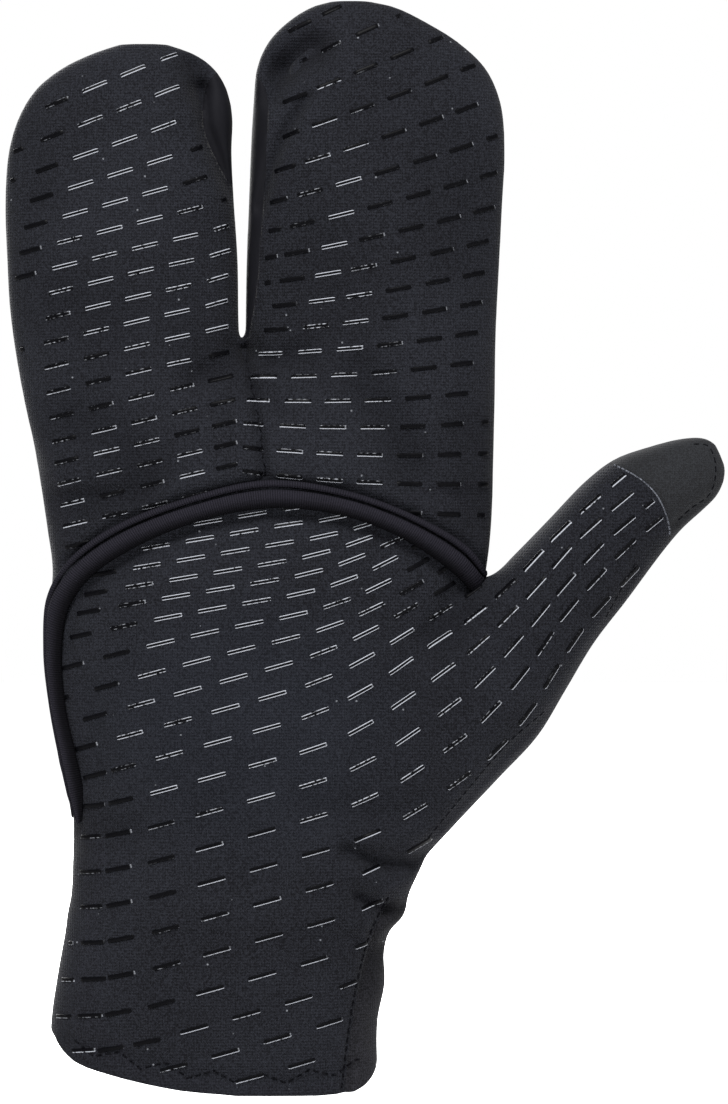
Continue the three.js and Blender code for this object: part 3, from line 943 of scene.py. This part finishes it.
tape_faces = grid_faces(MOUTH_STEPS, len(share), closed=True)
binding = piece_of("opening_binding_tape", tape_points.reshape(-1, 3), tape_faces, tape_finish(),
                   "binding_tape")
uv = np.stack(np.broadcast_arrays(reach_along(mouth_path)[:, None], share[None]), -1)
give_map(binding, uv.reshape(-1, 2))
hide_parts("opening_binding")


# Grip bars: black silicone printed on the jersey as short raised bars in slanting rows, each with
# a bead along both long edges, on which a pale highlight is painted.
# Length, width and height of a bar, the points along it, and the form of its ends
PALM_BAR = (7.05, 1.05, 0.3)
HOOD_BAR = (6.5, 1.05, 0.3)
BAR_ALONG = 11
END_SQUARENESS = 16
END_WIDTH = 0.8
END_SUNK = 0.5
BAR_SECTION = [
    # place across the bar, share of its height
    [-1, -0.5], [-0.86, 0.55], [-0.6, 1], [0, 0.62], [0.6, 1], [0.86, 0.55], [1, -0.5],
]
# How many places along a bar are tried, how far beside them, how many it needs on its panel, the
# steepest slope that it takes, and the slope where the panel ends
BAR_TRIED = 15
TRIED_BESIDE = 0.9
BAR_NEEDS = 5
STEEPEST = 2.2
SLOPE_AT_END = 3
# The grid of depths: its cell, its margin, where the net starts, and the step of a slope
MAP_CELL = 0.6
MAP_MARGIN = 2
NET_AT = -40
SLOPE_STEP = 0.5
# How near the faces of the palm and of the pouches are seen, and how far the bars stay off the
# tape, the tape's right end, the wrist's back panel, the tip's seam, the slit and the edges
PALM_NEARER = 14
POUCH_NEARER = 12
OFF_TAPE = 3.5
PAST_TAPE_END = 4
OFF_WRAP = 0.5
OFF_TIP_SEAM = 0.6
OFF_SLIT = 0.3
POUCH_FACE = -3


def height_map(points, triangles):
    """Depth of a skin's palm side over a grid in x, z, found by pushing a flat net onto it along
    Y. Where the net misses the skin the depth is not a number."""
    low = points[:, [0, 2]].min(0) - MAP_MARGIN
    high = points[:, [0, 2]].max(0) + MAP_MARGIN
    columns, rows = (np.ceil((high - low) / MAP_CELL)).astype(int)
    x, z = np.meshgrid(low[0] + np.arange(columns) * MAP_CELL, low[1] + np.arange(rows) * MAP_CELL)
    flat_net = np.stack([x, np.full_like(x, NET_AT), z], -1).reshape(-1, 3)
    target_mesh = bpy.data.meshes.new("target")
    target_mesh.from_pydata(points.tolist(), [], triangles.tolist())
    target = bpy.data.objects.new("target", target_mesh)
    net_mesh = bpy.data.meshes.new("net")
    net_mesh.from_pydata(flat_net.tolist(), [], [])
    net = bpy.data.objects.new("net", net_mesh)
    for helper in (target, net):
        scene.collection.objects.link(helper)
    push = net.modifiers.new("push", "SHRINKWRAP")
    push.target = target
    push.wrap_method = "PROJECT"
    push.use_project_y = True
    push.use_project_z = False
    pushed = net.evaluated_get(bpy.context.evaluated_depsgraph_get()).to_mesh()
    depth = np.empty(len(pushed.vertices) * 3)
    pushed.vertices.foreach_get("co", depth)
    depth = depth.reshape(rows, columns, 3)[..., 1]
    for helper in (net, target):
        bpy.data.objects.remove(helper)
    return low, np.where(depth < NET_AT + 1, np.nan, depth)


def read_map(relief, x, z):
    """Depth at x, z: the four nearest of the grid's depths, weighed by nearness."""
    low, depth = relief
    u = np.clip((x - low[0]) / MAP_CELL, 0, depth.shape[1] - 1.001)
    v = np.clip((z - low[1]) / MAP_CELL, 0, depth.shape[0] - 1.001)
    i, j = v.astype(int), u.astype(int)
    u, v = u - j, v - i
    return ((depth[i, j] * (1 - u) + depth[i, j + 1] * u) * (1 - v)
            + (depth[i + 1, j] * (1 - u) + depth[i + 1, j + 1] * u) * v)


def laid_on(relief, x, z, height):
    """Points over x, z at a height square to the skin there."""
    y = read_map(relief, x, z)
    slope_x, slope_z = (
        (read_map(relief, x + dx, z + dz) - read_map(relief, x - dx, z - dz)) / (2 * SLOPE_STEP)
        for dx, dz in ((SLOPE_STEP, 0), (0, SLOPE_STEP)))
    length = np.sqrt(1 + slope_x ** 2 + slope_z ** 2)
    return np.stack([x + slope_x / length * height, y - height / length,
                     z + slope_z / length * height], -1)


def ease(value):
    """Smooth step from 0 to 1."""
    value = np.clip(value, 0, 1)
    return value * value * (3 - 2 * value)


# The bars lie in rows and columns of one slanting lattice for each panel, stretched by the hand.
# A panel's lattice is its middle column in pixels, the pitch from row to row down that column, and
# the slant in degrees and the step in pixels of a row at any place.
PALM_COLUMN = [(341, 500), (333, 518), (323, 538), (309, 573), (300, 596), (279, 666), (263, 760),
               (262, 840), (268, 950), (246, 1015), (200, 1095)]
LEFT_COLUMN = [(136, 33), (120, 172), (100, 285), (96, 345), (104, 432), (118, 540)]
RIGHT_COLUMN = [(369, -13), (362, 108), (334, 247), (310, 351), (291, 440), (290, 500)]


def palm_pitch(py):
    return np.minimum(18 + 18 * ease((py - 520) / 245), 34.6) + 4 * ease((py - 880) / 60)


def palm_slant(px, py):
    """Nearly level by the little finger and under the arch, and steep up the thumb."""
    turn_from = 262 + 0.4 * np.clip(py - 720, 0, 130)
    across_palm = 20 * ease((px - turn_from) / 160) + 16 * ease((px - turn_from - 168) / 100)
    up_thumb = (4 + 3 * ease((py - 600) / 30)) * ease((px - 520) / 30) - 4 * ease((px - 550) / 80)
    by_side = 3.5 * ease((165 - px) / 30) + 7 * ease((118 - px) / 25)
    under_arch = 6 * ease((565 - py) / 45) * ease((px - 260) / 60)
    return (9.5 + 6 * ease((py - 590) / 90) + across_palm + up_thumb - under_arch
            - by_side * ease((py - 780) / 40))


def palm_step(px, py):
    """Widest in the middle of the palm, where the cloth is stretched most."""
    by_side = 5 * ease((230 - px) / 30) + 20 * ease((180 - px) / 60)
    return (45 + 9 * ease((py - 600) / 220) - 5 * ease((px - 400) / 80) + 2 * ease((px - 540) / 40)
            - by_side * ease((py - 720) / 60))


def left_pitch(py):
    return 25 + 11 * ease((265 - py) / 200) - 4 * ease((py - 385) / 60)


def left_slant(px, py):
    return (13 + 10 * ease((270 - py) / 210)
            + 7 * ease((px - 185) / 40) * ease((360 - py) / 80) * ease(py / 200))


def left_step(px, py):
    return 41.5 - 5 * ease((55 - px) / 30) * ease((py - 250) / 60) - 5 * ease((px - 165) / 40)


def right_pitch(py):
    return 25.1 + 15.3 * ease((335 - py) / 300)


def right_slant(px, py):
    """Turned steadily from the fingertips down, and below the slit also across the pouch."""
    return 24 - 0.062 * (py - 50) + 0.04 * (px - 370) * ease(py / 400)


def right_step(px, py):
    """Shorter towards the slit, where the cloth turns away."""
    near_slit = 6 * ease((345 - px) / 30) + 10 * ease((305 - px) / 25)
    return 40 - near_slit * ease((330 - py) / 60) - 3 * ease((px - 400) / 50)


def stepped(place, slant, step, way):
    """The next bar of each row: a step along the slant that holds half way there."""
    length = way * step(place[:, 0], place[:, 1])[:, None]
    turn = np.radians(slant(place[:, 0], place[:, 1]))
    middle = place + np.stack([np.cos(turn), -np.sin(turn)], -1) * length / 2
    turn = np.radians(slant(middle[:, 0], middle[:, 1]))
    return place + np.stack([np.cos(turn), -np.sin(turn)], -1) * length


def rows_of_bars(column, pitch, slant, step, leftwards, rightwards):
    """Bar middles in pixels: down the column by the pitch, and from there both ways along each
    row. Returns the places and their slants."""
    line = smooth_rows(column, 200)
    heights = [line[0, 1]]
    while heights[-1] < line[-1, 1]:
        heights.append(heights[-1] + pitch(heights[-1]))
    start = np.stack([np.interp(heights, line[:, 1], line[:, 0]), heights], -1)
    places = [start]
    for way, count in ((-1, leftwards), (1, rightwards)):
        place = start
        for _ in range(count):
            place = stepped(place, slant, step, way)
            places.append(place)
    places = np.concatenate(places)
    return places, np.radians(slant(places[:, 0], places[:, 1]))


def bars(relief, pixels, slants, nearer, inside, size):
    """Points and triangles of raised bars at pixel places, foreshortened where the cloth turns
    away, cut short where the panel ends, and left out where it is too steep. Each is a grid along
    and across, lifted by its section and closed down at both ends."""
    full_length, width, thickness = size
    middle = seen_at(pixels, nearer)
    along = np.stack([np.cos(slants), np.sin(slants)], -1)
    across = np.stack([-along[:, 1], along[:, 0]], -1)
    leans = [(read_map(relief, *(middle + way).T) - read_map(relief, *(middle - way).T))
             for way in (along, across)]
    leans = [np.nan_to_num(lean, nan=SLOPE_AT_END) / 2 for lean in leans]
    half = full_length / 2 / np.sqrt(1 + leans[0] ** 2)
    probe = np.linspace(-1, 1, BAR_TRIED)
    tested = middle[:, None] + along[:, None] * (probe * half[:, None])[..., None]
    depth = sum(read_map(relief, tested[..., 0] + side * TRIED_BESIDE,
                         tested[..., 1] + rise * TRIED_BESIDE)
                for side, rise in ((1, 0), (-1, 0), (0, 1), (0, -1)))
    good = np.isfinite(depth) & inside(tested.reshape(-1, 2)).reshape(depth.shape)
    enough = (good.sum(1) >= BAR_NEEDS) & (np.hypot(*leans) < STEEPEST)
    low = np.where(good, probe, FAR).min(1)
    high = np.where(good, probe, -FAR).max(1)
    middle, along, across, half, low, high = (
        values[enough] for values in (middle, along, across, half, low, high))
    section = np.array(BAR_SECTION)
    u = np.linspace(0, 1, BAR_ALONG)
    towards_ends = np.sqrt(1 - np.abs(2 * u - 1) ** END_SQUARENESS)
    round_end = np.minimum(1, towards_ends + END_WIDTH)
    lift = np.minimum(1, towards_ends * (1 + END_SUNK) - END_SUNK)
    reach = (low[:, None] + (high - low)[:, None] * u) * half[:, None]
    flat = (middle[:, None, None] + along[:, None, None] * reach[:, :, None, None]
            + across[:, None, None] * (section[:, 0] * width / 2)[None, None, :, None]
            * round_end[None, :, None, None])
    height = thickness * np.minimum(section[:, 1][None], lift[:, None])[None]
    points = laid_on(relief, flat[..., 0], flat[..., 1], np.broadcast_to(height, flat.shape[:3]))
    faces = grid_faces(BAR_ALONG, len(section))
    faces = (faces[None] + (np.arange(len(middle)) * BAR_ALONG * len(section))[:, None, None])
    own = np.stack(np.broadcast_arrays(u[None, :, None], section[:, 0][None, None],
                                       np.arange(len(middle))[:, None, None]), -1)
    return points.reshape(-1, 3), faces.reshape(-1, 3), own.reshape(-1, 3), middle


def silicone_finish():
    """Glossy black silicone. Each long edge carries a painted highlight, a pale line where the bar's
    attributes say so, broken into dots where they are low, and some bars end in a painted bright
    dot."""
    finish, shader, place = start_finish("grip_silicone", 0.4, 0.015)
    along, across, _ = place.node("ShaderNodeUVMap").parts()
    grain = place.noise(1300.0)
    line = 0.0
    for edge, attribute in ((-0.68, "painted_highlight_below"), (0.68, "painted_highlight_above")):
        lit = place.attribute(attribute)
        bead = 1 - (across - edge).math("ABSOLUTE").ramp(0.08, 0.26)
        unbroken = (grain + lit * 0.5).ramp(0.6, 0.8)
        line = bead * unbroken * lit.ramp(0.02, 0.5) + line
    painted_end_glint = along.ramp(0.9, 0.96) * place.noise(170.0, 0.0).ramp(0.56, 0.6) * 0.5
    feed(shader, "Base Color", (line + painted_end_glint).blend(linear(3, 3, 4), linear(108, 110, 115)))
    return finish


silicone = silicone_finish()


def add_bars(name, finish, slot, relief, rows, nearer, inside, size, painted_highlights_at=None, behind=False):
    """One joined piece of raised bars, with how strongly the highlight painted on each bar's two
    edges shows. For the back of the hand the relief is mirrored, and the bars are mirrored back."""
    points, faces, own, middle = bars(relief, *rows, nearer, inside, size)
    if behind:
        points[:, 1] *= -1
        faces = faces[:, ::-1]
    finite = np.isfinite(points).all(1)
    bar_of = own[:, 2].astype(int)
    whole = np.bincount(bar_of, ~finite, len(middle)) == 0
    keep = whole[bar_of[faces[:, 0]]]
    points[~finite] = 0
    used, faces = np.unique(faces[keep], return_inverse=True)
    points, own, bar_of = points[used], own[used], bar_of[used]
    piece = piece_of(name, points, faces.reshape(-1, 3), finish, slot)
    give_map(piece, own[:, :2])
    if painted_highlights_at:
        for attribute, level in zip(("painted_highlight_below", "painted_highlight_above"), painted_highlights_at(middle)):
            levels = piece.data.attributes.new(attribute, "FLOAT", "POINT")
            levels.data.foreach_set("value", level[bar_of])
    return piece


glove_relief = height_map(glove_points[:, :3], glove_faces)
hood_relief = height_map(hood_front[0][:, :3], hood_front[1])


def below_mouth(places):
    """On the palm below the tape's inner edge, or on the thumb up to its tip's seam, and short of
    the back panel at the wrist."""
    under_tape = beyond(places, mouth_path) > OFF_TAPE
    under_tape &= places[:, 0] < mouth_path[-1, 0] + PAST_TAPE_END
    on_back = on_wrap(np.insert(places, 1, 0, axis=1)) > -OFF_WRAP
    return ~under_tape & ~on_back & (beyond(places, tip_path) < -OFF_TIP_SEAM)


palm_rows = rows_of_bars(PALM_COLUMN, palm_pitch, palm_slant, palm_step, leftwards=6, rightwards=12)
left_rows = rows_of_bars(LEFT_COLUMN, left_pitch, left_slant, left_step, leftwards=3, rightwards=4)
right_rows = rows_of_bars(RIGHT_COLUMN, right_pitch, right_slant, right_step, leftwards=4,
                          rightwards=5)


def pixel_of(places):
    """Pixels of places in x, z, the reverse of seen_at on the seam plane."""
    return places[:, 0] / PIXEL + WRIST_AT[0], WRIST_AT[1] - places[:, 1] / PIXEL


def uneven(px, py):
    """A factor that differs from bar to bar, between 0.5 and 1."""
    return 0.75 + 0.25 * np.sin(0.31 * px + 0.47 * py)


# Levels, for the lower and upper edge of each bar, of the highlights painted on them, as the light
# falls on each part
def palm_painted_highlights(places):
    """Lit from the middle of the palm up the thumb, dark by the little finger and below the tape
    at the crotch of the thumb. Only the lower edge shines on the wrist and on the thumb."""
    px, py = pixel_of(places)
    on_wrist = ease((py - 780) / 60)
    lit = ease((px - 105 - 45 * on_wrist) / 55) + 0.5 * on_wrist * ease((100 - px) / 12)
    lit *= 1 - 0.9 * ease((px - 370) / 50) * ease((520 - px) / 25) * ease((640 - py) / 50)
    lit *= 1 - 0.7 * ease((px - 335) / 30) * ease((py - 930) / 40)
    lit *= uneven(px, py)
    return lit, lit * (1 - on_wrist) * (1 - 0.85 * ease((px - 420) / 80))


def left_painted_highlights(places):
    """Lit except along both sides, and in patches lower down."""
    px, py = pixel_of(places)
    by_slit = ease((px - 180) / 20) * ease((240 - py) / 20) * ease((py - 90) / 30)
    lit = ease((px - 45) / 30) * (1 - 0.9 * by_slit)
    lit *= 1 - 0.8 * ease((px - 195) / 20) * ease((py - 330) / 30)
    lit *= 1 - 0.6 * ease((py - 330) / 40) * (np.sin(0.31 * px + 0.2 * py) > 0.3)
    lit *= uneven(px, py)
    return lit, lit * (1 - 0.6 * ease((py - 320) / 60))


def right_painted_highlights(places):
    """Black, except for one column down the middle, and more near the tape."""
    px, py = pixel_of(places)
    column = np.exp(-((px - 338) / 22) ** 2) * ease((py - 10) / 160)
    low = ease((py - 335) / 20) * ease((px - 245) / 20) * ease((400 - px) / 30)
    lit = np.maximum(column, low * uneven(px, 2 * py)) + 0.08
    return lit, lit * ease((py - 130) / 60) * (1 - 0.7 * ease((py - 320) / 60))


def on_pouch(places, off_slit):
    """On the face of a pouch, short of its rounded edges and off the slit."""
    return (off_slit > OFF_SLIT) & (read_map(hood_relief, *places.T) < POUCH_FACE)


def left_of_slit(places):
    return on_pouch(places, SLIT_X - places[:, 0])


def right_of_slit(places):
    return on_pouch(places, places[:, 0] - SLIT_X)


# Each panel's bars, with the levels of their painted highlights
for bars_name, relief, rows, nearer, inside, size, light in (
        ("palm_bars", glove_relief, palm_rows, PALM_NEARER, below_mouth, PALM_BAR, palm_painted_highlights),
        ("hood_left_bars", hood_relief, left_rows, POUCH_NEARER, left_of_slit, HOOD_BAR, left_painted_highlights),
        ("hood_right_bars", hood_relief, right_rows, POUCH_NEARER, right_of_slit, HOOD_BAR,
         right_painted_highlights)):
    add_bars(bars_name, silicone, "grip_silicone", relief, rows, nearer, inside, size, light)


# Threads: each seam has its row of short dark stitches, the hem a zigzag, and the thumb's touch
# panel a raised seam whose thread is painted pale as the highlight of its lit edge, showing as one
# line.
# Length, width and height of the stitches and of the turns of the pale seam, and their pitches
STITCH_SIZE = (1.5, 0.4, 0.2)
FINE_STITCH = (1.5, 0.28, 0.12)
PALE_TURN = (1.25, 0.36, 0.28)
STITCH_PITCH = 2.1
PALE_PITCH = 1.1
STITCH_STEPS = 400
HALF_STITCH = 0.3
THUMB_NEARER = 8
TIP_NEARER = 5
STITCHES_ABOVE = (0, 2)
CENTRE_SWAY = 0.3
CENTRE_WAVE = 4
HEM_STITCHES = [(71, 1046), (121, 1058), (148, 1064), (204, 1074), (254, 1078), (302, 1076),
                (362, 1066)]
ZIGZAG_HIGH = 1.25
ZIGZAG_LONG = 11
SIDE_STITCHES = [(341, 1090), (351, 1012), (362, 960), (373, 926), (388, 898)]
THUMB_STITCHES = [(636, 562), (558, 697), (508, 742), (424, 842)]
TIP_STITCHES = [(692, 444), (708, 446), (715, 462), (714, 482), (708, 496), (690, 509), (674, 524)]


def thread_finish(name, dark, light):
    """Spun thread: fine turns along it, dull."""
    finish, shader, place = start_finish(name, 0.9, 0.01)
    feed(shader, "Base Color", place.noise(2200.0, 1.0).ramp(0.35, 0.65).blend(dark, light))
    return finish


def along_path(path, pitch, sway=0.0, wave=1.0):
    """Places in x, z every `pitch` along a path, swayed to either side as a triangle wave, and
    the slants there."""
    line = smooth_rows(path, STITCH_STEPS)
    step = np.gradient(line, axis=0)
    square = np.stack([-step[:, 1], step[:, 0]], -1) / np.linalg.norm(step, axis=1)[:, None]
    turn = reach_along(line) / wave % 1
    line = line + square * (sway * (4 * np.abs(turn - 0.5) - 1))[:, None]
    reach = reach_along(line)
    at = np.arange(pitch / 2, reach[-1], pitch)
    low, high = (np.stack([np.interp(at + off, reach, line[:, i]) for i in (0, 1)], -1)
                 for off in (-HALF_STITCH, HALF_STITCH))
    tangent = high - low
    return (low + high) / 2, np.arctan2(tangent[:, 1], tangent[:, 0])


def as_rows(places, slants):
    """Places in x, z as pixels, for `bars`."""
    return np.stack(pixel_of(places), -1), slants


def anywhere(places):
    return np.ones(len(places), bool)


dark_thread = thread_finish("dark_thread", linear(2, 2, 3), linear(9, 9, 11))
# a thread painted pale, the highlight of the touch panel's lit seam
painted_highlight_thread = thread_finish("painted_highlight_thread", linear(36, 37, 41), linear(68, 70, 75))
BACKWARDS = np.array([1, -1, 1])
glove_rear_relief = height_map(glove_points[:, :3] * BACKWARDS, glove_faces[:, ::-1])
hood_rear_relief = height_map(hood_rear[0][:, :3] * BACKWARDS, hood_rear[1][:, ::-1])
back_seam_stitches = BACK_SEAM + STITCHES_ABOVE
hem_path = seen_at(HEM_STITCHES, PALM_NEARER)
side_path = seen_at(SIDE_STITCHES, SEAMS_NEARER)
thumb_path = seen_at(THUMB_STITCHES, THUMB_NEARER)
tip_edge_path = seen_at(TIP_STITCHES, TIP_NEARER)
centre_path = seen_at(CENTRE_SEAM, FOLDS_NEARER)
zigzag = (ZIGZAG_HIGH, ZIGZAG_LONG)
straight = (0, 1)
for seam_name, relief, path, wave, size, behind in (
        ("hem_stitches", glove_relief, hem_path, zigzag, STITCH_SIZE, False),
        ("hem_back_stitches", glove_rear_relief, hem_path, zigzag, STITCH_SIZE, True),
        ("hood_back_stitches", hood_rear_relief, back_seam_stitches, straight, STITCH_SIZE, True),
        ("wrist_side_stitches", glove_relief, side_path, straight, STITCH_SIZE, False),
        ("thumb_side_stitches", glove_relief, thumb_path, straight, FINE_STITCH, False),
        ("thumb_tip_stitches", glove_relief, tip_edge_path, straight, FINE_STITCH, False),
        ("hood_centre_stitches", hood_relief, centre_path, (CENTRE_SWAY, CENTRE_WAVE), FINE_STITCH,
         False)):
    stitches = as_rows(*along_path(path, STITCH_PITCH, *wave))
    add_bars(seam_name, dark_thread, "thread", relief, stitches, 0, anywhere, size, behind=behind)
pale_turns = as_rows(*along_path(seen_at(THUMB_TIP_SEAM, TIP_SEAM_NEARER), PALE_PITCH))
add_bars("thumb_tip_seam", painted_highlight_thread, "thread", glove_relief, pale_turns, 0, anywhere, PALE_TURN)
